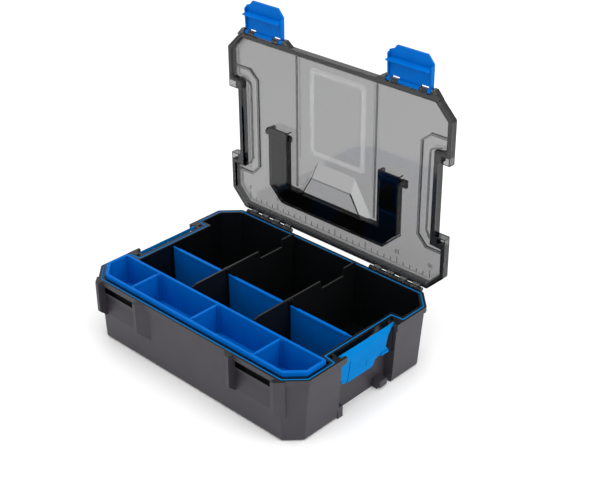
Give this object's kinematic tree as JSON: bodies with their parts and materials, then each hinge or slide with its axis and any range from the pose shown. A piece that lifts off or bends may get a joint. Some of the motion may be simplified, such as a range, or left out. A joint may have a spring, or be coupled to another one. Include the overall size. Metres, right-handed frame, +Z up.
{
  "type": "parts organizer",
  "caption": "Rectangular storage case with a hinged clear lid, lift-out tray, removable dividers, snap latches, fold-flat handle and side linking clips.",
  "frame": {"origin": "centre of the flat bottom of the base, on the surface it stands on", "axes": "+X towards the right end of the case, -Y towards the latched front, +Y towards the hinge, +Z up"},
  "size_m": [0.35, 0.2646, 0.3708],
  "materials": {
    "case_plastic": "satin moulded polypropylene",
    "blue_plastic": "satin moulded polypropylene",
    "smoke_clear": "glossy smoke-tinted clear plastic",
    "seal_rubber": "soft satin seal cord",
    "pin_plastic": "smooth moulded pin"
  },
  "bodies": {
    "base": {"base_shell": "case_plastic", "rim_seal": "seal_rubber", "hinge_pin_left": "pin_plastic", "hinge_pin_right": "pin_plastic"},
    "lid": {"lid_shell": "smoke_clear", "latch_pin_left": "pin_plastic", "latch_pin_right": "pin_plastic"},
    "latch_left": {"latch_left": "blue_plastic"},
    "latch_right": {"latch_right": "blue_plastic"},
    "handle": {"carry_handle": "case_plastic"},
    "clip_left": {"side_clip_left": "blue_plastic"},
    "clip_right": {"side_clip_right": "blue_plastic"},
    "tray": {"front_tray": "blue_plastic"},
    "tray_divider_left": {"tray_divider_left": "blue_plastic"},
    "tray_divider_centre": {"tray_divider_centre": "blue_plastic"},
    "tray_divider_right": {"tray_divider_right": "blue_plastic"},
    "long_divider_left": {"long_divider_left": "case_plastic"},
    "long_divider_right": {"long_divider_right": "case_plastic"},
    "cross_divider_left": {"cross_divider_left": "blue_plastic"},
    "cross_divider_centre": {"cross_divider_centre": "blue_plastic"},
    "cross_divider_right": {"cross_divider_right": "blue_plastic"}
  },
  "joints": [
    {"name": "lid_hinge", "type": "hinge", "parent": "base", "child": "lid", "pos_m": [0, 0.1246, 0.082], "axis": [-1, 0, 0], "range_deg": [-90, 0]},
    {"name": "latch_left_hinge", "type": "hinge", "parent": "lid", "child": "latch_left", "pos_m": [-0.1127, 0.1293, 0.3306], "axis": [-1, 0, 0], "range_deg": [-90, 0]},
    {"name": "latch_right_hinge", "type": "hinge", "parent": "lid", "child": "latch_right", "pos_m": [0.1127, 0.1293, 0.3306], "axis": [-1, 0, 0], "range_deg": [-90, 0]},
    {"name": "handle_hinge", "type": "hinge", "parent": "lid", "child": "handle", "pos_m": [0, 0.132, 0.2066], "axis": [1, 0, 0], "range_deg": [0, 90]},
    {"name": "clip_left_slide", "type": "slide", "parent": "base", "child": "clip_left", "axis": [0, 0, 1], "range_m": [0, 0.024]},
    {"name": "clip_right_slide", "type": "slide", "parent": "base", "child": "clip_right", "axis": [0, 0, 1], "range_m": [0, 0.024]},
    {"name": "tray_lift", "type": "slide", "parent": "base", "child": "tray", "axis": [0, 0, 1], "range_m": [0, 0.045]},
    {"name": "tray_divider_left_lift", "type": "slide", "parent": "tray", "child": "tray_divider_left", "axis": [0, 0, 1], "range_m": [0, 0.04]},
    {"name": "tray_divider_centre_lift", "type": "slide", "parent": "tray", "child": "tray_divider_centre", "axis": [0, 0, 1], "range_m": [0, 0.04]},
    {"name": "tray_divider_right_lift", "type": "slide", "parent": "tray", "child": "tray_divider_right", "axis": [0, 0, 1], "range_m": [0, 0.04]},
    {"name": "long_divider_left_lift", "type": "slide", "parent": "base", "child": "long_divider_left", "axis": [0, 0, 1], "range_m": [0, 0.09]},
    {"name": "long_divider_right_lift", "type": "slide", "parent": "base", "child": "long_divider_right", "axis": [0, 0, 1], "range_m": [0, 0.09]},
    {"name": "cross_divider_left_lift", "type": "slide", "parent": "base", "child": "cross_divider_left", "axis": [0, 0, 1], "range_m": [0, 0.09]},
    {"name": "cross_divider_centre_lift", "type": "slide", "parent": "base", "child": "cross_divider_centre", "axis": [0, 0, 1], "range_m": [0, 0.09]},
    {"name": "cross_divider_right_lift", "type": "slide", "parent": "base", "child": "cross_divider_right", "axis": [0, 0, 1], "range_m": [0, 0.09]}
  ]
}
